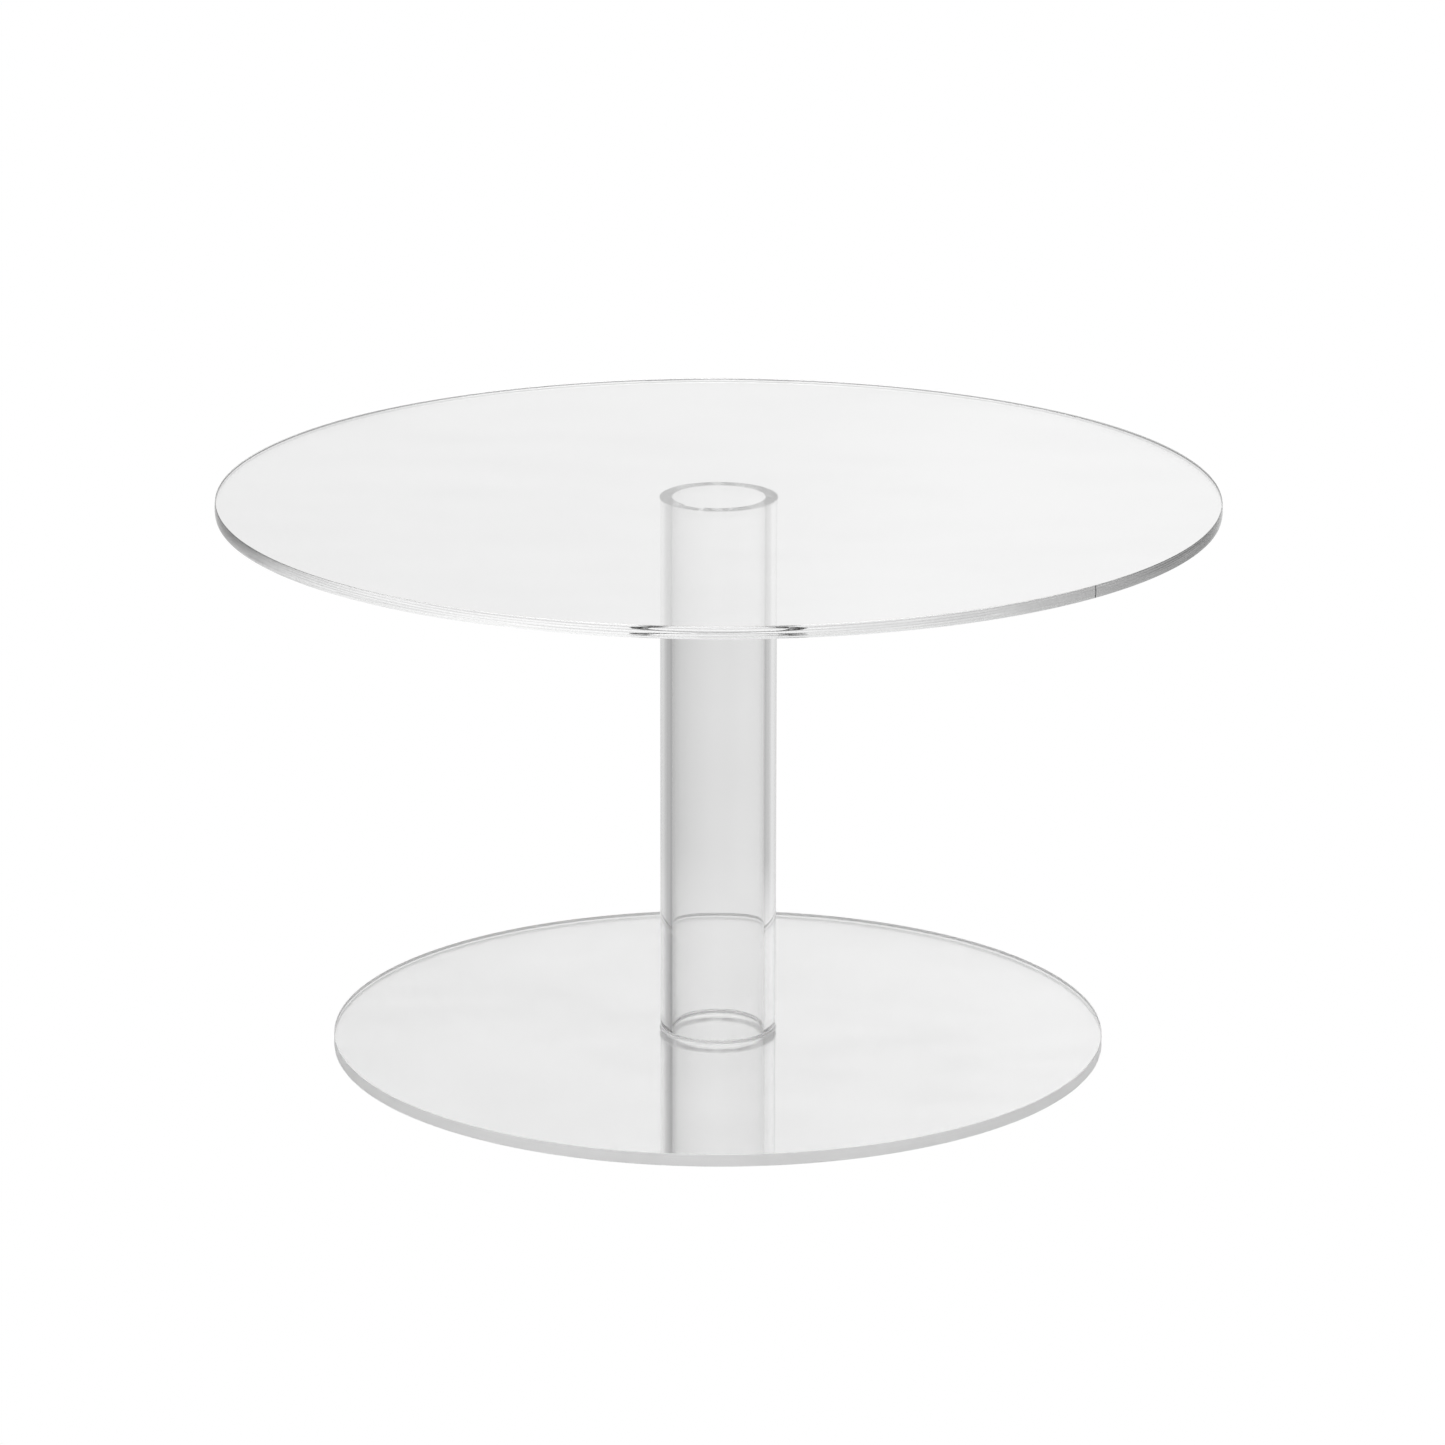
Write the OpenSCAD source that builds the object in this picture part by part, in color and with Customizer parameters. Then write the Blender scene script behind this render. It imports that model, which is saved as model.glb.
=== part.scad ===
// Clear acrylic pedestal stand: a round top disc carried on one tube
// that stands on a smaller round base disc, with cemented joints.
// Millimetres, +Z up, origin at the centre of the base's underside.

/* [Stand] */
// Overall height, from the table to the top disc's upper face
overall_h = 146.4; // [60:0.2:300]

/* [Top disc] */
// Diameter of the top disc
top_d = 257; // [120:0.5:400]
// Thickness of the sheet that the top disc is cut from
top_t = 3.2; // [2:0.1:8]

/* [Base disc] */
// Diameter of the base disc
base_d = 200; // [90:0.5:350]
// Thickness of the sheet that the base disc is cut from
base_t = 3.2; // [2:0.1:8]

/* [Column tube] */
// Outside diameter of the tube
tube_od = 30; // [18:0.5:60]
// Wall thickness of the tube
tube_wall = 3; // [1.5:0.1:6]

/* [Rims] */
// Width of the small 45 degree arris on every disc edge
arris = 0.15; // [0.05:0.05:0.8]

/* [Cement joints] */
// Thickness of the cement film between a tube end and a disc
film_t = 0.2; // [0.1:0.05:0.5]
// How far the upper film has squeezed out past the tube's outside
squeeze_out = 0.25; // [0.05:0.05:1]
// How far the upper film has squeezed into the tube's bore
squeeze_in = 0.05; // [0.05:0.05:0.5]
// Height that the lower bead climbs up the tube, above the film
bead_h = 0.5; // [0.2:0.1:3]
// Width of the lower bead on the base, outside the tube
bead_w = 0.4; // [0.2:0.1:3]
// Width of the bead inside the tube's foot, and its climb above the film
inner_bead = 0.4; // [0.2:0.1:1.2]

/* [Hidden] */

// Fineness of the discs and the tube, and the steps in a bead's hollow curve
$fn = 128;
BEAD_STEPS = 6;

tube_r = tube_od / 2;
bore_r = tube_r - tube_wall;

// Heights, from the table up
base_top_z = base_t;
tube_foot_z = base_top_z + film_t;
top_under_z = overall_h - top_t;
tube_head_z = top_under_z - film_t;

CLEAR = [0.86, 0.90, 0.92, 0.35];
CLEAR_TUBE = [0.80, 0.85, 0.87, 0.45];
CEMENT = [0.72, 0.75, 0.77, 0.70];

// A disc of sheet with a small arris round both edges, its underside at z = 0
module rim_broken_disc(d, t) {
    r = d / 2;
    rotate_extrude()
        polygon([
            [0, 0], [r - arris, 0], [r, arris],
            [r, t - arris], [r - arris, t], [0, t]
        ]);
}

// Points of a hollow quarter curve from (reach, 0) to (0, rise), which is
// the shape that wet cement takes in a corner
function meniscus(reach, rise) = [
    for (i = [0 : BEAD_STEPS])
        let (a = 90 * i / BEAD_STEPS)
        [reach * (1 - sin(a)), rise * (1 - cos(a))]
];

module top_disc() {
    color(CLEAR)
        translate([0, 0, top_under_z])
            rim_broken_disc(top_d, top_t);
}

module base_disc() {
    color(CLEAR)
        rim_broken_disc(base_d, base_t);
}

module column_tube() {
    color(CLEAR_TUBE)
        rotate_extrude()
            polygon([
                [bore_r, tube_foot_z], [tube_r, tube_foot_z],
                [tube_r, tube_head_z], [bore_r, tube_head_z]
            ]);
}

// Flat ring of cement between the tube's head and the top disc
module upper_cement_joint() {
    outer_r = tube_r + squeeze_out;
    inner_r = bore_r - squeeze_in;
    color(CEMENT)
        rotate_extrude()
            polygon([
                [inner_r, tube_head_z], [outer_r, tube_head_z],
                [outer_r, top_under_z], [inner_r, top_under_z]
            ]);
}

// Ring of cement under the tube's foot. Its beads stand on the base, and
// climb the tube outside and inside
module lower_cement_joint() {
    outside = [
        for (p = meniscus(bead_w, film_t + bead_h))
            [tube_r + p[0], base_top_z + p[1]]
    ];
    inside = [
        for (p = meniscus(inner_bead, film_t + inner_bead))
            [bore_r - p[0], base_top_z + p[1]]
    ];
    inside_down = [for (i = [len(inside) - 1 : -1 : 0]) inside[i]];
    color(CEMENT)
        rotate_extrude()
            polygon(concat(
                outside,
                [[tube_r, tube_foot_z], [bore_r, tube_foot_z]],
                inside_down
            ));
}

top_disc();
column_tube();
base_disc();
upper_cement_joint();
lower_cement_joint();
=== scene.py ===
import math

import bpy
import numpy as np
from bpy.props import FloatProperty, FloatVectorProperty, IntProperty, PointerProperty
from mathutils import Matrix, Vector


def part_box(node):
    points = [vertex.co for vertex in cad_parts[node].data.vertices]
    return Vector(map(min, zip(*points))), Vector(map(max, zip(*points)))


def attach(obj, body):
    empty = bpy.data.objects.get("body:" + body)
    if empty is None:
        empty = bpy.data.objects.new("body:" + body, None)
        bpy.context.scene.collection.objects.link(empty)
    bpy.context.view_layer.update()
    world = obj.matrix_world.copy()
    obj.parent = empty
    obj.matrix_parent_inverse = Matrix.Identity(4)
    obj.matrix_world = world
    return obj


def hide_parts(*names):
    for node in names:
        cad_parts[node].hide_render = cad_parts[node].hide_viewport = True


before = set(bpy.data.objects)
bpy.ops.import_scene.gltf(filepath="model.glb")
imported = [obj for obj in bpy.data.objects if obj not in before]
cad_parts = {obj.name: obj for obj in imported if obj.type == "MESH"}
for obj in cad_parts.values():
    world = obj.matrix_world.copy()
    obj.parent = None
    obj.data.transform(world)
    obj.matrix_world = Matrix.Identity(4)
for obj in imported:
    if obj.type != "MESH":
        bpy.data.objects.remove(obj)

bl_info = {
    "name": "Clear Pedestal Stand",
    "version": (1, 0, 0),
    "blender": (4, 5, 0),
    "location": "View3D > Sidebar > Stand",
    "description": "Builds a clear acrylic pedestal stand: two discs cemented to a tube",
    "category": "Object",
}

MM = 0.001
MICRON = 0.000001

WHITE = (1.0, 1.0, 1.0, 1.0)
BLACK = (0.0, 0.0, 0.0, 1.0)

# Finish zones of a disc: the index of its material slot.
FACE, RIM, BONDED = 0, 1, 2

# A band of surface that rises less than this is a flat face.
FLAT_RISE = 0.5 * MICRON

# An edge that turns by more than this is a crease in the shading.
CREASE = math.radians(28)

# Clearance that keeps two rows of a profile from falling together.
HAIR = 1 * MICRON


# ---------------------------------------------------------------- sizes


def stack_heights():
    """Heights of the five pieces, from the table up, as the frame gives them."""
    low = {n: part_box(n)[0].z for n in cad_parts}
    high = {n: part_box(n)[1].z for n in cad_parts}
    return low, high


def outer_radius(node):
    """Half the smaller width of a round CAD node."""
    low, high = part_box(node)
    return min(high.x - low.x, high.y - low.y) / 2


class StandSizes(bpy.types.PropertyGroup):
    """Sizes that the frame doesn't give, and the fineness of the surfaces."""

    tube_wall: FloatProperty(
        name="Tube wall", description="Wall thickness of the column tube",
        default=3.0 * MM, unit="LENGTH", precision=4)
    arris: FloatProperty(
        name="Arris", description="Radius of the small round on every disc edge",
        default=0.15 * MM, unit="LENGTH", precision=5)
    bond_gap: FloatProperty(
        name="Bond gap", description="Hair's breadth left between two cemented faces",
        default=5 * MICRON, unit="LENGTH", precision=6)
    squeeze_in: FloatProperty(
        name="Squeeze in", description="How far the upper film has run into the bore",
        default=0.05 * MM, unit="LENGTH", precision=5)
    inner_bead: FloatProperty(
        name="Inner bead", description="Height and width of the bead inside the tube's foot",
        default=0.4 * MM, unit="LENGTH", precision=5)
    rim_bulge: FloatProperty(
        name="Rim bulge", description="Roundness of the top disc's polished rim",
        default=0.50 * MM, unit="LENGTH", precision=5)
    cut_line_depth: FloatProperty(
        name="Cut line depth", description="Depth of the cutter's lines round the top disc's rim",
        default=0.5 * MICRON, unit="LENGTH", precision=7)
    witness_angle: FloatProperty(
        name="Witness line", description="Where the cut round the top disc starts and stops, from the front",
        default=math.radians(45.6), subtype="ANGLE")
    turns: IntProperty(
        name="Turns", description="Steps round each round piece", default=512, min=96, max=1024)


class StandFinish(bpy.types.PropertyGroup):
    """Colours of the clear plastic and of the cement."""

    acrylic_ior: FloatProperty(
        name="Refraction", description="Refractive index of acrylic", default=1.49)
    body_tint: FloatVectorProperty(
        name="Body tint", description="Colour that light takes on inside the acrylic",
        default=(0.880, 0.883, 0.885), subtype="COLOR", size=3, min=0, max=1)
    body_density: FloatProperty(
        name="Body density", description="How fast the body tint builds up, per metre", default=0.6)
    film_tint: FloatVectorProperty(
        name="Film tint", description="Tint of the thin film of cement under the top disc",
        default=(0.93, 0.93, 0.93), subtype="COLOR", size=3, min=0, max=1)
    bead_tint: FloatVectorProperty(
        name="Bead tint", description="Tint of the cement at the tube's foot",
        default=(0.98, 0.98, 0.98), subtype="COLOR", size=3, min=0, max=1)


class StandStudio(bpy.types.PropertyGroup):
    """The camera and the white studio."""

    distance: FloatProperty(
        name="Camera distance", description="Level distance from the column to the camera",
        default=1.7692, unit="LENGTH")
    height: FloatProperty(
        name="Camera height", description="Height of the camera above the table",
        default=0.5958, unit="LENGTH")
    aside: FloatProperty(
        name="Camera aside", description="How far right of the column the camera stands",
        default=0.2 * MM, unit="LENGTH", precision=4)
    pitch: FloatProperty(
        name="Camera pitch", description="How far the camera looks down",
        default=math.radians(16.085), subtype="ANGLE")
    roll: FloatProperty(
        name="Camera roll", description="How far the camera leans", default=math.radians(-0.096),
        subtype="ANGLE")
    lens: FloatProperty(
        name="Lens", description="Focal length on a 36 mm wide sensor, in millimetres", default=178.02)
    table_white: FloatProperty(
        name="Table white", description="Light that the table gives off", default=0.28)
    table_sheen: FloatProperty(
        name="Table sheen", description="Share of the walls' light that the table mirrors", default=0.55)


# ------------------------------------------------------------- surfaces


def turned(name, angle, radius, height, zone, finishes, looped=False):
    """Makes a surface of revolution and returns its object.

    Point (s, a) = (R cos a, R sin a, Z): a goes once round the axis in the steps of angle,
    and s runs along the profile in the rows of radius and height, anticlockwise with the
    axis on the left. zone gives the finish of each band and column. A looped profile joins
    its last row to its first; otherwise its first and last rows are points on the axis.
    A band whose two rows lie at one height is a flat face, and is shaded flat.
    """
    rows, columns = radius.shape
    rise = np.abs(np.roll(height, -1, axis=0) - height).max(axis=1)
    smooth = np.repeat((rise > FLAT_RISE)[:len(zone), None], columns, axis=1)
    grid = np.stack([radius * np.cos(angle), radius * np.sin(angle), height], axis=-1)
    index = np.arange(rows * columns).reshape(rows, columns)
    if looped:
        points = grid.reshape(-1, 3)
        lower, upper = index, np.roll(index, -1, axis=0)
        faces, slots, curved = [], [], []
    else:
        points = np.concatenate([grid[0, :1], grid[1:-1].reshape(-1, 3), grid[-1, :1]])
        index = index[:-2] + 1
        lower, upper = index[:-1], index[1:]
        first, last = index[0], index[-1]
        under = np.stack([np.zeros_like(first), np.roll(first, -1), first], axis=-1)
        over = np.stack([last, np.roll(last, -1), np.full_like(last, len(points) - 1)], axis=-1)
        faces = under.tolist() + over.tolist()
        slots, curved = [zone[0], zone[-1]], [smooth[0], smooth[-1]]
        zone, smooth = zone[1:-1], smooth[1:-1]
    quads = np.stack([lower, np.roll(lower, -1, axis=1), np.roll(upper, -1, axis=1), upper], axis=-1)
    faces += quads.reshape(-1, 4).tolist()
    slots = np.concatenate([*slots, zone.ravel()]).astype(np.int32)
    curved = np.concatenate([*curved, smooth.ravel()])

    mesh = bpy.data.meshes.new(name)
    mesh.from_pydata(points, [], faces)
    mesh.polygons.foreach_set("material_index", slots)
    for finish in finishes:
        mesh.materials.append(finish)
    mesh.update()
    mesh.set_sharp_from_angle(angle=CREASE)
    mesh.polygons.foreach_set("use_smooth", curved)
    mesh.update()
    piece = bpy.data.objects.new(name, mesh)
    bpy.context.scene.collection.objects.link(piece)
    return piece


def round_steps(turns, extra=()):
    """Angles once round the axis, even steps with any extra angles put in between."""
    even = np.arange(turns) * 2 * np.pi / turns
    return np.unique(np.concatenate([even, np.mod(np.asarray(extra, float), 2 * np.pi)]))


def ripple(angle, seed, waves, lowest, highest):
    """Sum of cosines of whole wave counts with seeded phases, between -1 and 1, so it closes."""
    rng = np.random.default_rng(seed)
    count = rng.integers(lowest, highest + 1, waves)
    phase = rng.uniform(0, 2 * np.pi, waves)
    return np.cos(np.outer(count, angle) + phase[:, None]).sum(0) / waves


def turn_from(angle, centre):
    """Turn from centre to each angle, between minus and plus half a turn."""
    return np.mod(angle - centre + np.pi, 2 * np.pi) - np.pi


def bump_at(angle, centre, half_width):
    """1 at the centre angle, falling to 0 as exp(-x^2), where x is the turn away in half widths."""
    return np.exp(-((turn_from(angle, centre) / half_width) ** 2))


def within(angle, centre, half_width):
    """True where an angle is less than half_width from centre."""
    return np.abs(turn_from(angle, centre)) < half_width


def from_front(degrees):
    """Angle about the axis of a place so many degrees right of the front, which is -Y."""
    return math.radians(degrees - 90)


def level(value, angle):
    """One row of the same value at every angle."""
    return np.full_like(angle, value)


def edge_round(size, steps=4):
    """Quarter circle as (inset from the rim, rise from the face): size times (1 - sin t, 1 - cos t)."""
    t = np.linspace(0, np.pi / 2, steps + 1)
    return size * (1 - np.sin(t)), size * (1 - np.cos(t))


def disc_rows(angle, rim_r, low, high, arris, rim_inset, rim_rows, under=(), over=()):
    """Rows of a disc's profile: axis, underside, rounded edge, rim, rounded edge, upper face, axis.

    rim_inset(a, u) is how far the rim lies inside rim_r at height share u. under and over
    are rows of radius on the two faces, from the axis out. Returns radii, heights, and the
    number of bands on the underside, the edge and the upper face.
    """
    inset, rise = edge_round(arris)
    share = np.linspace(0, 1, rim_rows)
    rim = [rim_r - rim_inset(angle, u) for u in share]
    radii = [level(0, angle), *under]
    radii += [rim[0] - i for i in inset[:-1]] + rim + [rim[-1] - i for i in inset[:-1][::-1]]
    radii += [*reversed(over), level(0, angle)]
    edge_low, edge_high = low + arris, high - arris
    heights = [low] * (1 + len(under))
    heights += [low + r for r in rise[:-1]]
    heights += [edge_low + (edge_high - edge_low) * u for u in share]
    heights += [high - r for r in rise[:-1][::-1]]
    heights += [high] * (1 + len(over))
    heights = [level(h, angle) for h in heights]
    bands = (1 + len(under), 2 * (len(inset) - 1) + rim_rows - 1, 1 + len(over))
    return np.array(radii), np.array(heights), bands


# ----------------------------------------------------- cement outlines

# The upper film's gap, and the strip missing from its inner edge.
VOID_CENTRE = from_front(-19.0)
VOID_HALF = math.radians(1.7)
STEP_FROM, STEP_TO = from_front(-47.0), from_front(-19.0)
STEP_WIDTH = 0.95 * MM

# Sway of the upper film's outer edge, and that of its inner edge as a share of its squeeze.
FILM_SWAY, SQUEEZE_SWAY = 0.06 * MM, 0.6

# Runs in the lower bead: the mean and the sway as shares of the bead's size, then the seed, the
# number of waves, and their lowest and highest count round the foot.
OUTWARD_RUN = (0.56, 0.15, 11, 7, 2, 24)
UPWARD_RUN = (0.58, 0.18, 12, 7, 2, 20)
INWARD_RUN = (0.52, 0.16, 14, 7, 2, 24)
BUBBLE_RUN = (0.5, 1.4, 13, 12, 40, 75)

# Climb of the bead in the bore, as shares of its size: where it is lowest, and what a bubble adds.
LOWEST_CLIMB, BUBBLE_CLIMB = 0.20, 0.62


def run(angle, mean, sway, *waves):
    """A share that sways about its mean as a ripple does."""
    return mean + sway * ripple(angle, *waves)


def upper_film_radii(angle, sizes):
    """Inner and outer radius of the upper film: round, with faint runs and one missing strip."""
    bore_r = outer_radius("column_tube") - sizes.tube_wall
    film_r = outer_radius("upper_cement_joint")
    outer = film_r - FILM_SWAY * run(angle, 1, 1, 3, 9, 3, 40)
    inner = bore_r - sizes.squeeze_in * run(angle, 1, SQUEEZE_SWAY, 4, 9, 3, 50)
    missing = (angle - STEP_FROM) % (2 * np.pi) < (STEP_TO - STEP_FROM) % (2 * np.pi)
    return np.where(missing, inner + STEP_WIDTH, inner), outer


def in_void(angle):
    """True where the upper film has a gap right across it."""
    return within(angle, VOID_CENTRE, VOID_HALF)


def bead_reach(angle, sizes):
    """Reach and climb of the lower bead outside the tube, then inside it, where bubbles ruffle it."""
    low, high = stack_heights()
    reach = outer_radius("lower_cement_joint") - outer_radius("column_tube")
    climb = high["lower_cement_joint"] - low["column_tube"]
    outward = reach * run(angle, *OUTWARD_RUN)
    upward = climb * run(angle, *UPWARD_RUN)
    inward = sizes.inner_bead * run(angle, *INWARD_RUN)
    bubbles = np.clip(run(angle, *BUBBLE_RUN), 0, 1)
    inner_climb = sizes.inner_bead * (LOWEST_CLIMB + BUBBLE_CLIMB * bubbles)
    return outward, upward, inward, inner_climb


# ------------------------------------------------------------- finishes


def shader_group(name, inputs, outputs, build):
    """A node group with the named sockets. build(tree, inside, outside) wires it up."""
    if name in bpy.data.node_groups:
        return bpy.data.node_groups[name]
    tree = bpy.data.node_groups.new(name, "ShaderNodeTree")
    for label, kind, value in inputs:
        socket = tree.interface.new_socket(label, in_out="INPUT", socket_type="NodeSocket" + kind)
        if value is not None:
            socket.default_value = value
    for label, kind in outputs:
        tree.interface.new_socket(label, in_out="OUTPUT", socket_type="NodeSocket" + kind)
    inside = tree.nodes.new("NodeGroupInput")
    outside = tree.nodes.new("NodeGroupOutput")
    build(tree, inside.outputs, outside.inputs)
    return tree


def add_node(tree, kind, links=(), **values):
    """Adds a node, sets its properties, and links sockets: (input name or number, output)."""
    node = tree.nodes.new(kind)
    for key, value in values.items():
        setattr(node, key, value)
    for into, source in links:
        if hasattr(source, "is_output"):
            tree.links.new(source, node.inputs[into])
        else:
            node.inputs[into].default_value = source
    return node


# Wiping marks: the range of the noise that shows as cloud, how the streaks lie and are drawn out,
# and how many of the cells hold a speck of dust and how dark it is.
CLOUD_FROM, CLOUD_TO = 0.16, 0.40
STREAK_TURN, STREAK_STRETCH = 0.5, 3.5
SPECK_SHARE, SPECK_DARKNESS = 0.06, 0.55


def multiplied(tree, first, second):
    """Output of the product of two values."""
    return add_node(tree, "ShaderNodeMath", [(0, first), (1, second)], operation="MULTIPLY").outputs[0]


def below(tree, value, limit):
    """Output that is 1 where a value is under a limit, and 0 elsewhere."""
    return add_node(tree, "ShaderNodeMath", [(0, value), (1, limit)], operation="LESS_THAN").outputs[0]


def grey_of(tree, value):
    """Output of the grey whose three channels are one value."""
    return add_node(tree, "ShaderNodeCombineColor", [
        ("Red", value), ("Green", value), ("Blue", value)]).outputs[0]


def build_wiping_marks(tree, inside, outside):
    """Faint clouds left by wiping, and a few specks of dust, as a tint and a roughness."""
    cloud = add_node(tree, "ShaderNodeTexNoise", [
        ("Vector", inside["Place"]), ("Scale", inside["Cloud Scale"]),
        ("Detail", 5.0), ("Roughness", 0.55), ("Distortion", 0.6)])
    streak_way = add_node(tree, "ShaderNodeMapping", [
        ("Vector", inside["Place"]), ("Rotation", (0.0, 0.0, STREAK_TURN)),
        ("Scale", (1.0, STREAK_STRETCH, 1.0))])
    streak = add_node(tree, "ShaderNodeTexNoise", [
        ("Vector", streak_way.outputs[0]), ("Scale", inside["Cloud Scale"]), ("Detail", 3.0)])
    cloudy = add_node(tree, "ShaderNodeMapRange", [
        ("Value", multiplied(tree, cloud.outputs["Fac"], streak.outputs["Fac"])),
        ("From Min", CLOUD_FROM), ("From Max", CLOUD_TO)]).outputs[0]
    speck = add_node(tree, "ShaderNodeTexVoronoi", [
        ("Vector", inside["Place"]), ("Scale", inside["Speck Scale"]), ("Randomness", 1.0)])
    chosen = add_node(tree, "ShaderNodeSeparateColor", [("Color", speck.outputs["Color"])])
    fleck = multiplied(
        tree, below(tree, speck.outputs["Distance"], inside["Speck Size"]),
        below(tree, chosen.outputs["Red"], SPECK_SHARE))
    shade = add_node(tree, "ShaderNodeMath", [
        (0, multiplied(tree, cloudy, inside["Cloud Depth"])),
        (1, multiplied(tree, fleck, SPECK_DARKNESS))], operation="ADD")
    clear = add_node(tree, "ShaderNodeMath", [(0, 1.0), (1, shade.outputs[0])], operation="SUBTRACT")
    tree.links.new(grey_of(tree, clear.outputs[0]), outside["Tint"])
    tree.links.new(multiplied(tree, cloudy, inside["Haze"]), outside["Roughness"])


def wiping_marks():
    """The shared group of wiping marks."""
    return shader_group(
        "wiping_marks",
        [("Place", "Vector", None), ("Cloud Scale", "Float", 22.0), ("Cloud Depth", "Float", 0.02),
         ("Haze", "Float", 0.01), ("Speck Scale", "Float", 60.0), ("Speck Size", "Float", 0.02)],
        [("Tint", "Color"), ("Roughness", "Float")],
        build_wiping_marks)


# The range of the noise that runs from the darkest cutter line to the clear plastic between.
LINES_FROM, LINES_TO = 0.35, 0.65


def build_cutter_lines(tree, inside, outside):
    """Fine lines that run round a rim at one height and drift slowly, as a tint and a height."""
    parts = add_node(tree, "ShaderNodeSeparateXYZ", [("Vector", inside["Place"])])
    place = add_node(tree, "ShaderNodeCombineXYZ", [
        ("X", multiplied(tree, parts.outputs["X"], inside["Drift"])),
        ("Y", multiplied(tree, parts.outputs["Y"], inside["Drift"])),
        ("Z", multiplied(tree, parts.outputs["Z"], inside["Line Scale"]))])
    lines = add_node(tree, "ShaderNodeTexNoise", [
        ("Vector", place.outputs[0]), ("Scale", 1.0), ("Detail", 2.0), ("Roughness", 0.6)])
    shade = add_node(tree, "ShaderNodeMapRange", [
        ("Value", lines.outputs["Fac"]), ("From Min", LINES_FROM), ("From Max", LINES_TO),
        ("To Min", inside["Darkest"]), ("To Max", 1.0)])
    tree.links.new(grey_of(tree, shade.outputs[0]), outside["Tint"])
    tree.links.new(lines.outputs["Fac"], outside["Height"])


def cutter_lines():
    """The shared group of cutter lines."""
    return shader_group(
        "cutter_lines",
        [("Place", "Vector", None), ("Line Scale", "Float", 2500.0), ("Drift", "Float", 12.0),
         ("Darkest", "Float", 0.9)],
        [("Tint", "Color"), ("Height", "Float")],
        build_cutter_lines)


def clear_material(name, finish, ior=None, roughness=0.0, milky=0.0):
    """A clear dielectric, milky or not, with a body tint. Returns it, its tree and its shader."""
    material = bpy.data.materials.new(name)
    material.use_nodes = True
    tree = material.node_tree
    shader = tree.nodes["Principled BSDF"]
    shader.inputs["Transmission Weight"].default_value = 1.0 - milky
    shader.inputs["Metallic"].default_value = 0.0
    shader.inputs["IOR"].default_value = finish.acrylic_ior if ior is None else ior
    shader.inputs["Roughness"].default_value = roughness
    shader.inputs["Base Color"].default_value = WHITE
    body = add_node(tree, "ShaderNodeVolumeAbsorption", [
        ("Color", (*finish.body_tint, 1.0)), ("Density", finish.body_density)])
    tree.links.new(body.outputs[0], tree.nodes["Material Output"].inputs["Volume"])
    return material, tree, shader


def place_on_object(tree):
    """Output of the object's own coordinates, in metres."""
    return tree.nodes.new("ShaderNodeTexCoord").outputs["Object"]


def polished_face(name, finish, cloud_scale, cloud_depth, haze):
    """Polished acrylic face with wiping marks."""
    material, tree, shader = clear_material(name, finish)
    marks = add_node(tree, "ShaderNodeGroup", node_tree=wiping_marks())
    tree.links.new(place_on_object(tree), marks.inputs["Place"])
    marks.inputs["Cloud Scale"].default_value = cloud_scale
    marks.inputs["Cloud Depth"].default_value = cloud_depth
    marks.inputs["Haze"].default_value = haze
    tree.links.new(marks.outputs["Tint"], shader.inputs["Base Color"])
    tree.links.new(marks.outputs["Roughness"], shader.inputs["Roughness"])
    return material


def lined_rim(name, finish, roughness, line_scale, drift, darkest, line_height, milky=0.0):
    """Rim of cut sheet: cutter lines in its tint and its relief, over a set roughness and milkiness."""
    material, tree, shader = clear_material(name, finish, roughness=roughness, milky=milky)
    lines = add_node(tree, "ShaderNodeGroup", node_tree=cutter_lines())
    tree.links.new(place_on_object(tree), lines.inputs["Place"])
    lines.inputs["Line Scale"].default_value = line_scale
    lines.inputs["Drift"].default_value = drift
    lines.inputs["Darkest"].default_value = darkest
    tree.links.new(lines.outputs["Tint"], shader.inputs["Base Color"])
    bump = add_node(tree, "ShaderNodeBump", [
        ("Strength", 1.0), ("Distance", line_height), ("Height", lines.outputs["Height"])])
    tree.links.new(bump.outputs[0], shader.inputs["Normal"])
    return material


def bonded_face(name, finish, tint, milky=0.0):
    """Face wetted by cement: light passes without bending, with a faint tint from the cement."""
    material, _, shader = clear_material(name, finish, ior=1.0, milky=milky)
    shader.inputs["Base Color"].default_value = (*tint, 1.0)
    return material


# ---------------------------------------------------------------- pieces


def hand_over(piece, node):
    """The piece stands for a CAD node and moves with the stand's one body."""
    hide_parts(node)
    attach(piece, "root")
    return {"FINISHED"}


# The top rim: half the width and the depth of its witness line, the height share of its fullest
# part, how far that part drifts, how far up the undercut low down reaches and its share of the
# bulge, the mean depth of the cutter's lines, and the rows that the rim is made of.
WITNESS_HALF, WITNESS_DEPTH = 0.10 * MM, 0.12 * MM
FULLEST, FULLEST_DRIFT = 0.46, 0.02
UNDERCUT_TOP, UNDERCUT_SHARE = 0.28, 0.5
MEAN_LINES = 9.7
TOP_RIM_ROWS = 61

# The cutter's waves up the rim: height, waves in the rim, pull of the drift, and phase. The fine
# ones fade out at the height share FINE_TOP.
CUTTER_WAVES = ((1.0, 3.1, 2.0, 0.0), (0.7, 5.3, -3.0, 1.0))
FINE_HEIGHT, FINE_COUNT, FINE_TOP = 8.0, 9, 0.42


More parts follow.
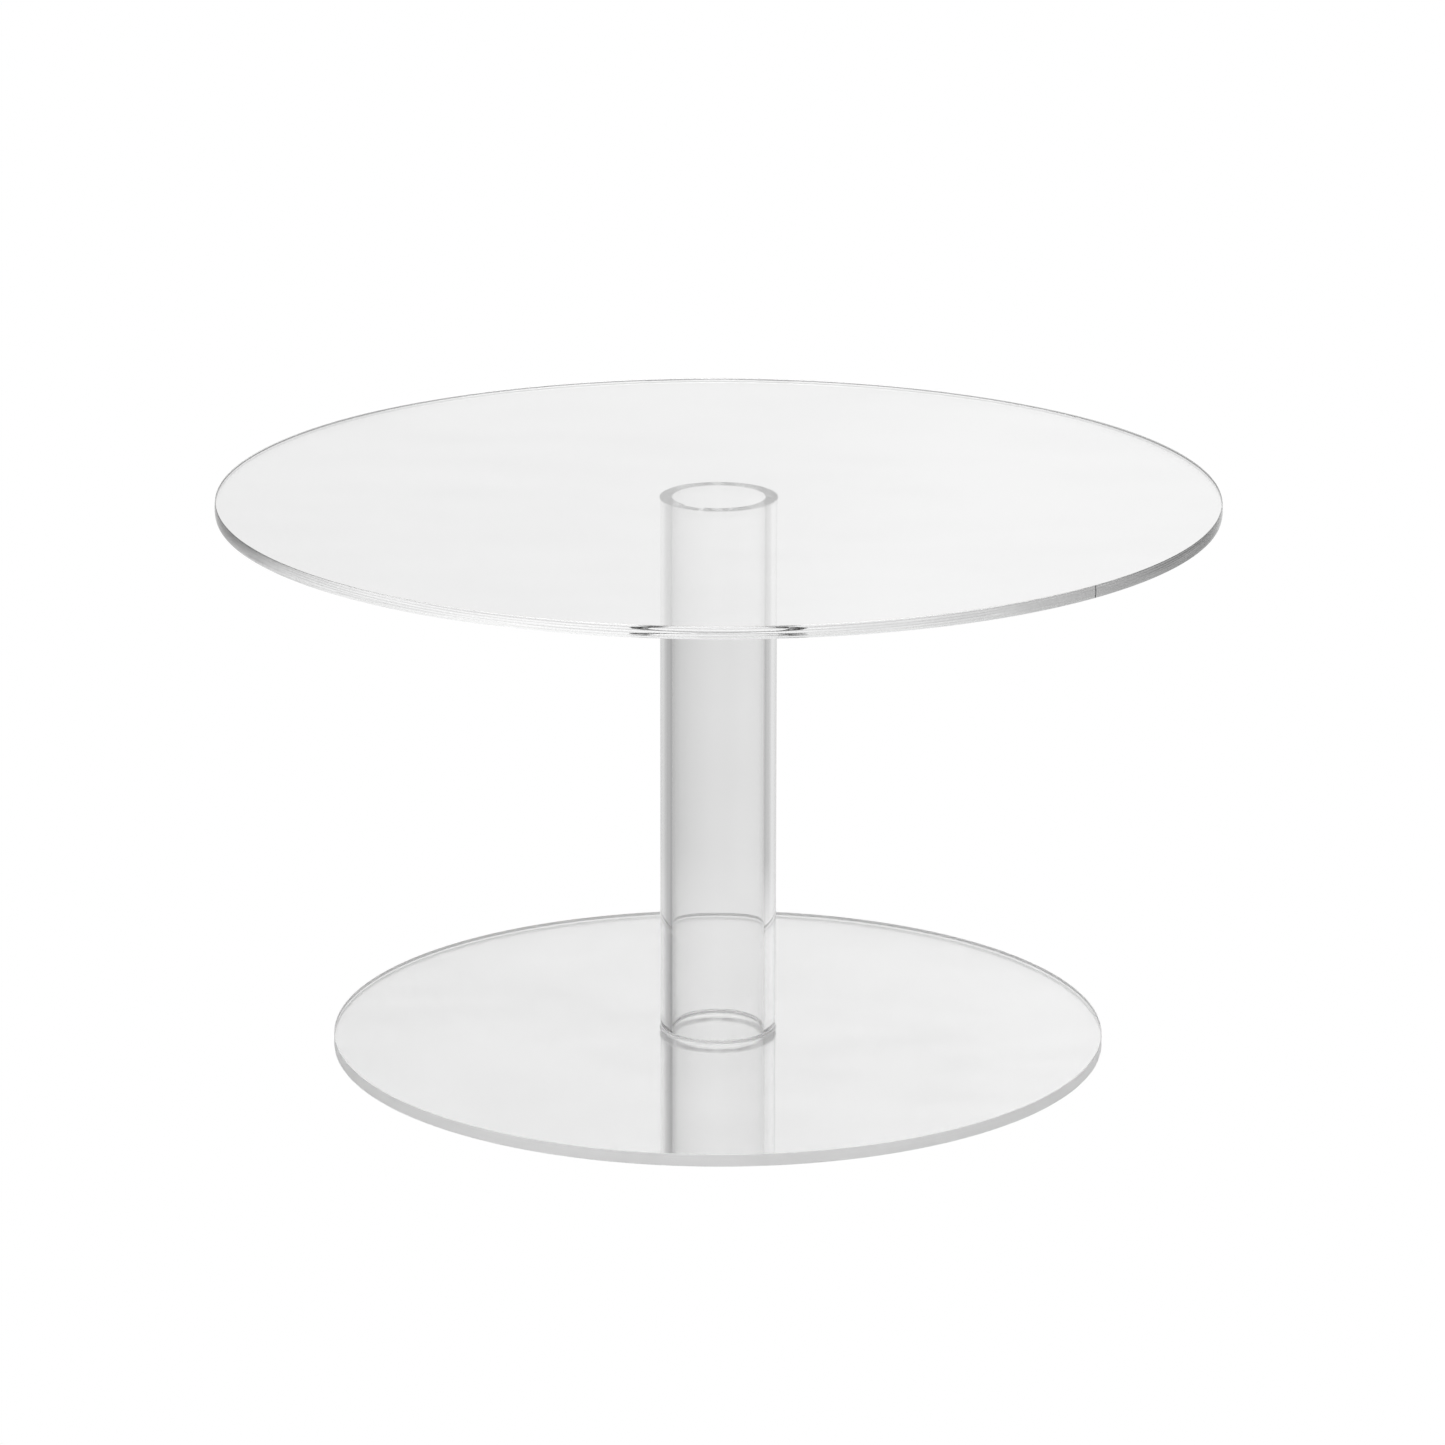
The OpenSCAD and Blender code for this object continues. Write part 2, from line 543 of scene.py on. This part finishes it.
class STAND_OT_top_disc(bpy.types.Operator):
    """Make the top disc, with its cut rim and its cemented ring underneath"""

    bl_idname = "stand.top_disc"
    bl_label = "Top disc"

    def execute(self, context):
        sizes, finish = context.scene.stand_sizes, context.scene.stand_finish
        low, high = stack_heights()
        witness = from_front(math.degrees(sizes.witness_angle))
        rim_r = outer_radius("top_disc")
        line_half = WITNESS_HALF / rim_r
        angle = round_steps(sizes.turns, witness + line_half * np.linspace(-3, 3, 13))
        inner, outer = upper_film_radii(angle, sizes)

        def rim_inset(a, u):
            """A slight bulge, faint drifting waves, finer ones low down, and a notch at the witness line."""
            drift = ripple(a, 21, 5, 1, 7)
            above = u - FULLEST - FULLEST_DRIFT * drift
            undercut = UNDERCUT_SHARE * max(UNDERCUT_TOP - u, 0) ** 2
            wave = FINE_HEIGHT * max(1 - u / FINE_TOP, 0) * np.cos(2 * np.pi * FINE_COUNT * u + drift)
            for tall, count, pull, phase in CUTTER_WAVES:
                wave += tall * np.cos(2 * np.pi * count * u + pull * drift + phase)
            notch = WITNESS_DEPTH * bump_at(a, witness, line_half)
            bulge = sizes.rim_bulge * (above ** 2 + undercut)
            return bulge + sizes.cut_line_depth * (MEAN_LINES + wave) + notch

        radii, heights, (under, edge, over) = disc_rows(
            angle, rim_r, low["top_disc"], high["top_disc"], sizes.arris, rim_inset,
            TOP_RIM_ROWS, under=[inner, outer])
        zone = np.zeros((under + edge + over, len(angle)), dtype=int)
        zone[1] = np.where(in_void(angle), FACE, BONDED)
        zone[under:under + edge] = RIM
        finishes = [
            polished_face("polished_sheet", finish, cloud_scale=22.0, cloud_depth=0.03, haze=0.012),
            lined_rim("cut_rim", finish, roughness=0.0, line_scale=1800.0, drift=3.0, darkest=0.96,
                      line_height=0.3 * MICRON),
            bonded_face("bonded_ring", finish, finish.film_tint),
        ]
        piece = turned("top_disc_clear", angle, radii, heights, zone, finishes)
        return hand_over(piece, "top_disc")


# The base rim: depth, count and drift of its feed lines, and the rows that it is made of.
FEED_DEPTH, FEED_LINES, FEED_DRIFT = 4 * MICRON, 6, 0.5
BASE_RIM_ROWS = 25


class STAND_OT_base_disc(bpy.types.Operator):
    """Make the base disc, with its matt rim and its cemented ring on top"""

    bl_idname = "stand.base_disc"
    bl_label = "Base disc"

    def execute(self, context):
        sizes, finish = context.scene.stand_sizes, context.scene.stand_finish
        low, high = stack_heights()
        rim_r = outer_radius("base_disc")
        tube_r = outer_radius("column_tube")
        angle = round_steps(sizes.turns)
        outward, _, inward, _ = bead_reach(angle, sizes)

        def rim_inset(a, u):
            """Even feed lines of a milled rim."""
            drift = FEED_DRIFT * ripple(a, 31, 4, 1, 5)
            return FEED_DEPTH * (1 + np.cos(2 * np.pi * FEED_LINES * u + drift))

        radii, heights, (under, edge, over) = disc_rows(
            angle, rim_r, low["base_disc"], high["base_disc"], sizes.arris, rim_inset,
            BASE_RIM_ROWS, over=[tube_r - sizes.tube_wall - inward, tube_r + outward])
        zone = np.zeros((under + edge + over, len(angle)), dtype=int)
        zone[under:under + edge] = RIM
        zone[under + edge + 1] = BONDED
        finishes = [
            polished_face("polished_base_sheet", finish, cloud_scale=26.0, cloud_depth=0.035, haze=0.012),
            lined_rim("matt_rim", finish, roughness=0.55, line_scale=2600.0, drift=20.0, darkest=0.97,
                      line_height=6 * MICRON, milky=0.4),
            bonded_face("bonded_foot", finish, finish.bead_tint),
        ]
        piece = turned("base_disc_clear", angle, radii, heights, zone, finishes)
        return hand_over(piece, "base_disc")


# The faint draw lines along the tube: their height outside and in the bore.
DRAW_OUTSIDE, DRAW_INSIDE = 2 * MICRON, 3 * MICRON

# Finish zones of the tube, besides its polished faces.
WET_FOOT, WET_HEAD = 1, 2


class STAND_OT_column_tube(bpy.types.Operator):
    """Make the column tube, with faint lines along it and both ends wetted by cement"""

    bl_idname = "stand.column_tube"
    bl_label = "Column tube"

    def execute(self, context):
        sizes, finish = context.scene.stand_sizes, context.scene.stand_finish
        low, high = stack_heights()
        foot, head = low["column_tube"], high["column_tube"]
        angle = round_steps(sizes.turns)
        tube_r = outer_radius("column_tube")
        outer = tube_r - DRAW_OUTSIDE * (1 + ripple(angle, 41, 14, 4, 60))
        bore = tube_r - sizes.tube_wall + DRAW_INSIDE * ripple(angle, 42, 14, 4, 60)
        film_inner, _ = upper_film_radii(angle, sizes)
        bond_from = np.maximum(film_inner, bore + HAIR)
        _, upward, _, inner_climb = bead_reach(angle, sizes)
        radii = np.array([bore, outer, outer, outer, bond_from, bore, bore])
        heights = np.array([
            level(foot, angle), level(foot, angle), foot + upward,
            level(head, angle), level(head, angle), level(head, angle), foot + inner_climb])
        # Bands wetted at the foot: its end, up the outside, and up the bore. At the head: its end.
        zone = np.zeros((len(radii), len(angle)), dtype=int)
        zone[[0, 1, -1]] = WET_FOOT
        zone[3] = np.where(in_void(angle), FACE, WET_HEAD)
        finishes = [
            polished_face("polished_tube", finish, cloud_scale=30.0, cloud_depth=0.02, haze=0.01),
            bonded_face("bonded_tube_foot", finish, finish.bead_tint),
            bonded_face("bonded_tube_head", finish, finish.film_tint),
        ]
        piece = turned("column_tube_clear", angle, radii, heights, zone, finishes, looped=True)
        return hand_over(piece, "column_tube")


# How much of the film's thickness is left in its gap, and how milky the film and the bead are.
VOID_FILL = 0.1
FILM_MILKY, BEAD_MILKY = 0.12, 0.3

# Finish zones of the cement: its own open surface, and where it is bonded to the acrylic.
OPEN, HELD = 0, 1

# Rows in each hollow curve of the bead.
CURVE_ROWS = 8


class STAND_OT_upper_cement(bpy.types.Operator):
    """Make the flat ring of cement under the top disc, with its gap and its missing strip"""

    bl_idname = "stand.upper_cement"
    bl_label = "Upper cement joint"

    def execute(self, context):
        sizes, finish = context.scene.stand_sizes, context.scene.stand_finish
        low, high = stack_heights()
        gap = sizes.bond_gap
        bottom, top = low["upper_cement_joint"] + gap, high["upper_cement_joint"] - gap
        angle = round_steps(sizes.turns)
        inner, outer = upper_film_radii(angle, sizes)
        tube_r = outer_radius("column_tube")
        wall = np.minimum(level(tube_r, angle), outer - HAIR)
        edge = np.maximum(inner + HAIR, tube_r - sizes.tube_wall)
        lid = np.where(in_void(angle), bottom + VOID_FILL * (top - bottom), top)
        radii = np.array([inner, edge, wall, outer, outer, inner])
        heights = np.array([level(bottom, angle)] * 4 + [lid, lid])
        # Held to the tube's end by the second band, and to the top disc by the fifth.
        zone = np.zeros((len(radii), len(angle)), dtype=int)
        zone[[1, 4]] = np.where(in_void(angle), OPEN, HELD)
        finishes = [
            clear_material("cement_edge", finish, roughness=0.08)[0],
            bonded_face("bonded_film", finish, finish.film_tint, milky=FILM_MILKY),
        ]
        piece = turned("upper_cement_ring", angle, radii, heights, zone, finishes, looped=True)
        return hand_over(piece, "upper_cement_joint")


class STAND_OT_lower_cement(bpy.types.Operator):
    """Make the ring of cement under the tube's foot, with its beads outside and inside"""

    bl_idname = "stand.lower_cement"
    bl_label = "Lower cement joint"

    def execute(self, context):
        sizes, finish = context.scene.stand_sizes, context.scene.stand_finish
        low, high = stack_heights()
        gap = sizes.bond_gap
        under = low["lower_cement_joint"] + gap
        foot = low["column_tube"]
        tube_r = outer_radius("column_tube") + gap
        bore_r = outer_radius("column_tube") - sizes.tube_wall - gap
        angle = round_steps(sizes.turns)
        outward, upward, inward, inner_climb = bead_reach(angle, sizes)
        t = np.linspace(0, np.pi / 2, CURVE_ROWS)[:, None]
        # Hollow quarter curves: out to in as (1 - sin t, 1 - cos t) outside, and back down inside.
        out_r = tube_r + outward * (1 - np.sin(t))
        out_z = under + (foot + upward - under) * (1 - np.cos(t))
        in_r = bore_r - inward * (1 - np.sin(t[::-1]))
        in_z = under + (foot + inner_climb - under) * (1 - np.cos(t[::-1]))
        radii = np.concatenate([out_r, [level(tube_r, angle), level(bore_r, angle)], in_r])
        heights = np.concatenate([out_z, [level(foot - gap, angle)] * 2, in_z])
        # Held bands: up the tube's outside, under its end, up its bore, and on the base.
        zone = np.zeros((len(radii), len(angle)), dtype=int)
        zone[[CURVE_ROWS - 1, CURVE_ROWS, CURVE_ROWS + 1, -1]] = HELD
        finishes = [
            clear_material("cement_bead", finish, roughness=0.02, milky=BEAD_MILKY)[0],
            bonded_face("bonded_bead", finish, finish.bead_tint),
        ]
        piece = turned("lower_cement_bead", angle, radii, heights, zone, finishes, looped=True)
        return hand_over(piece, "lower_cement_joint")


# ---------------------------------------------------------------- studio


def ramp_node(tree, value, stops):
    """A colour ramp of greys: (position, brightness) pairs."""
    node = add_node(tree, "ShaderNodeValToRGB", [("Fac", value)])
    ramp = node.color_ramp
    ramp.interpolation = "EASE"
    while len(ramp.elements) > 1:
        ramp.elements.remove(ramp.elements[-1])
    ramp.elements[0].position = stops[0][0]
    ramp.elements[0].color = (stops[0][1],) * 3 + (1.0,)
    for position, grey in stops[1:]:
        ramp.elements.new(position).color = (grey, grey, grey, 1.0)
    return node.outputs["Color"]


def compass_ramp(tree, parts, stops):
    """A ramp that runs once round the compass: (degrees right of straight behind, brightness)."""
    compass = add_node(tree, "ShaderNodeMath", [(0, parts.outputs["X"]), (1, parts.outputs["Y"])],
                       operation="ARCTAN2")
    share = add_node(tree, "ShaderNodeMapRange", [
        ("Value", compass.outputs[0]), ("From Min", -math.pi), ("From Max", math.pi)])
    return ramp_node(tree, share.outputs[0], [(0.5 + degrees / 360, grey) for degrees, grey in stops])


# Brightness of the walls: round the compass, in degrees right of straight behind, and up the
# walls, by the height of the direction. OVERHEAD is the share of the soft light from above.
WALL_COMPASS = (
    (-180, 0.45), (-130, 0.30), (-90, 0.15), (-66, 0.12), (-55, 0.20), (-40, 0.40), (-28, 0.57),
    (-20, 0.77), (-14, 0.93), (0, 1.05), (15, 1.10), (28, 1.06), (38, 0.98), (48, 1.00),
    (58, 0.72), (70, 0.40), (90, 0.25), (130, 0.30), (180, 0.45))
WALL_CLIMB = (
    (0.15, 1.00), (0.23, 0.98), (0.265, 0.98), (0.29, 0.92), (0.34, 0.92), (0.60, 0.75), (0.85, 1.0))
OVERHEAD = ((0.40, 0.0), (0.75, 1.0))
SOFT_LIGHT = (2.0, 2.0, 2.0, 1.0)


def studio_walls():
    """White to the eye, and to the acrylic a lit wall behind, dark sides and a dim front.

    The brightness is a ramp on the compass angle of a direction, where 0.5 is straight
    behind the stand, and overhead it turns to a soft light.
    """
    world = bpy.data.worlds.new("studio")
    bpy.context.scene.world = world
    world.use_nodes = True
    tree = world.node_tree
    tree.nodes.clear()
    way = add_node(tree, "ShaderNodeTexCoord")
    parts = add_node(tree, "ShaderNodeSeparateXYZ", [("Vector", way.outputs["Generated"])])
    round_about = compass_ramp(tree, parts, WALL_COMPASS)
    climb = ramp_node(tree, parts.outputs["Z"], WALL_CLIMB)
    overhead = ramp_node(tree, parts.outputs["Z"], OVERHEAD)
    lowered = add_node(tree, "ShaderNodeMix", [
        ("Factor", 1.0), ("A", round_about), ("B", climb)], data_type="RGBA", blend_type="MULTIPLY")
    walls = add_node(tree, "ShaderNodeMix", [
        ("Factor", overhead), ("A", lowered.outputs["Result"]), ("B", SOFT_LIGHT)],
        data_type="RGBA")
    eye = add_node(tree, "ShaderNodeLightPath")
    lit = add_node(tree, "ShaderNodeBackground", [("Color", walls.outputs["Result"])])
    white = add_node(tree, "ShaderNodeBackground", [("Color", WHITE)])
    pick = add_node(tree, "ShaderNodeMixShader", [
        ("Fac", eye.outputs["Is Camera Ray"]), (1, lit.outputs[0]), (2, white.outputs[0])])
    out = add_node(tree, "ShaderNodeOutputWorld")
    tree.links.new(pick.outputs[0], out.inputs["Surface"])


# Glow of the table: under the stand from TABLE_LEFT to TABLE_RIGHT, then by the compass. It goes
# over from one to the other between the two reaches of TABLE_TURN, and fades by TABLE_FADE.
TABLE_LEFT, TABLE_RIGHT = -0.12, 0.12
TABLE_NEAR = ((0.0, 0.97), (0.5, 1.02), (1.0, 1.26))
TABLE_COMPASS = (
    (-180, 1.20), (-90, 0.80), (-54, 1.05), (-38, 0.82), (-28, 0.75), (-20, 0.70), (-7, 0.74),
    (0, 0.77), (8, 0.97), (22, 0.98), (28, 0.88), (36, 0.38), (44, 0.10), (52, 0.10), (64, 0.40),
    (90, 0.60), (180, 1.20))
TABLE_TURN = (0.10, 0.17)
TABLE_FADE = ((0.10, 1.0), (1.0, 0.95))

# The table's mirror: its roughness, and its strength by slant.
MIRROR_ROUGHNESS = 0.1
MIRROR_SLANT = ((0.30, 0.70), (0.68, 1.0))


def table_finish(studio):
    """Pale glossy table: it glows softly and mirrors the walls, and looks plain white.

    Under the stand the glow grows from left to right. Farther out it goes by the compass, and is
    dimmest to the back right. As on any glossy table, the mirror image is stronger at a slant.
    """
    material = bpy.data.materials.new("pale_table")
    material.use_nodes = True
    tree = material.node_tree
    tree.nodes.clear()
    place = add_node(tree, "ShaderNodeTexCoord").outputs["Object"]
    parts = add_node(tree, "ShaderNodeSeparateXYZ", [("Vector", place)])
    across = add_node(tree, "ShaderNodeMapRange", [
        ("Value", parts.outputs["X"]), ("From Min", TABLE_LEFT), ("From Max", TABLE_RIGHT)])
    near = ramp_node(tree, across.outputs[0], TABLE_NEAR)
    far = compass_ramp(tree, parts, TABLE_COMPASS)
    reach = add_node(tree, "ShaderNodeVectorMath", [(0, place)], operation="LENGTH")
    fading = ramp_node(tree, reach.outputs["Value"], TABLE_FADE)
    faded = add_node(tree, "ShaderNodeMix", [
        ("Factor", 1.0), ("A", far), ("B", fading)], data_type="RGBA", blend_type="MULTIPLY")
    away = add_node(tree, "ShaderNodeMapRange", [
        ("Value", reach.outputs["Value"]), ("From Min", TABLE_TURN[0]), ("From Max", TABLE_TURN[1])])
    shade = add_node(tree, "ShaderNodeMix", [
        ("Factor", away.outputs[0]), ("A", near), ("B", faded.outputs["Result"])], data_type="RGBA")
    glow = add_node(tree, "ShaderNodeEmission", [
        ("Color", shade.outputs["Result"]), ("Strength", studio.table_white)])
    mirror = add_node(tree, "ShaderNodeBsdfGlossy", [("Color", WHITE), ("Roughness", MIRROR_ROUGHNESS)])
    dark = add_node(tree, "ShaderNodeBsdfTransparent", [("Color", BLACK)])
    slant = add_node(tree, "ShaderNodeLayerWeight", [("Blend", 0.5)])
    grazing = ramp_node(tree, slant.outputs["Facing"], MIRROR_SLANT)
    sheen = add_node(tree, "ShaderNodeMixShader", [
        ("Fac", multiplied(tree, grazing, studio.table_sheen)), (1, dark.outputs[0]),
        (2, mirror.outputs[0])])
    both = add_node(tree, "ShaderNodeAddShader", [(0, glow.outputs[0]), (1, sheen.outputs[0])])
    plain = add_node(tree, "ShaderNodeEmission", [("Strength", 1.0)])
    eye = add_node(tree, "ShaderNodeLightPath")
    pick = add_node(tree, "ShaderNodeMixShader", [
        ("Fac", eye.outputs["Is Camera Ray"]), (1, both.outputs[0]), (2, plain.outputs[0])])
    out = add_node(tree, "ShaderNodeOutputMaterial")
    tree.links.new(pick.outputs[0], out.inputs["Surface"])
    return material


# The table: half its width, the height of its top just under the stand, and its corners in turn.
TABLE_HALF, TABLE_TOP = 6.0, -0.2 * MM
SQUARE = ((-1, -1), (1, -1), (1, 1), (-1, 1))

# How often light may bounce, and how often it may pass straight through.
BOUNCES, CLEAR_BOUNCES = 64, 32


class STAND_OT_studio(bpy.types.Operator):
    """Make the camera, the pale table and the studio's light"""

    bl_idname = "stand.studio"
    bl_label = "Camera and studio"

    def execute(self, context):
        studio = context.scene.stand_studio
        scene = context.scene
        lens = bpy.data.cameras.new("camera")
        lens.lens = studio.lens
        lens.sensor_width = 36.0
        lens.clip_end = 50.0
        camera = bpy.data.objects.new("camera", lens)
        camera.location = (studio.aside, -studio.distance, studio.height)
        camera.rotation_euler = (math.pi / 2 - studio.pitch, studio.roll, 0.0)
        scene.collection.objects.link(camera)
        scene.camera = camera

        mesh = bpy.data.meshes.new("pale_table")
        corners = [(x * TABLE_HALF, y * TABLE_HALF, TABLE_TOP) for x, y in SQUARE]
        mesh.from_pydata(corners, [], [(0, 1, 2, 3)])
        mesh.materials.append(table_finish(studio))
        table = bpy.data.objects.new("pale_table", mesh)
        scene.collection.objects.link(table)
        studio_walls()
        scene.view_settings.view_transform = "Standard"
        scene.view_settings.look = "None"
        scene.cycles.max_bounces = BOUNCES
        scene.cycles.transmission_bounces = BOUNCES
        scene.cycles.glossy_bounces = BOUNCES
        scene.cycles.transparent_max_bounces = CLEAR_BOUNCES
        scene.cycles.caustics_reflective = True
        scene.cycles.caustics_refractive = True
        return {"FINISHED"}


class STAND_PT_parts(bpy.types.Panel):
    """Lists the stand's pieces and sizes"""

    bl_label = "Clear pedestal stand"
    bl_idname = "STAND_PT_parts"
    bl_space_type = "VIEW_3D"
    bl_region_type = "UI"
    bl_category = "Stand"

    def draw(self, context):
        layout = self.layout
        for step in STEPS:
            layout.operator(step.bl_idname)
        for group in (context.scene.stand_sizes, context.scene.stand_finish, context.scene.stand_studio):
            for name in group.__annotations__:
                layout.prop(group, name)


STEPS = (
    STAND_OT_studio, STAND_OT_base_disc, STAND_OT_lower_cement, STAND_OT_column_tube,
    STAND_OT_upper_cement, STAND_OT_top_disc,
)
GROUPS = (("stand_sizes", StandSizes), ("stand_finish", StandFinish), ("stand_studio", StandStudio))


def register():
    for _, group in GROUPS:
        bpy.utils.register_class(group)
    for name, group in GROUPS:
        setattr(bpy.types.Scene, name, PointerProperty(type=group))
    for step in STEPS:
        bpy.utils.register_class(step)
    bpy.utils.register_class(STAND_PT_parts)


def unregister():
    bpy.utils.unregister_class(STAND_PT_parts)
    for step in reversed(STEPS):
        bpy.utils.unregister_class(step)
    for name, group in reversed(GROUPS):
        delattr(bpy.types.Scene, name)
        bpy.utils.unregister_class(group)


def main():
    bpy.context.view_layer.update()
    register()
    for step in STEPS:
        area, name = step.bl_idname.split(".")
        getattr(getattr(bpy.ops, area), name)()


if __name__ == "__main__":
    main()
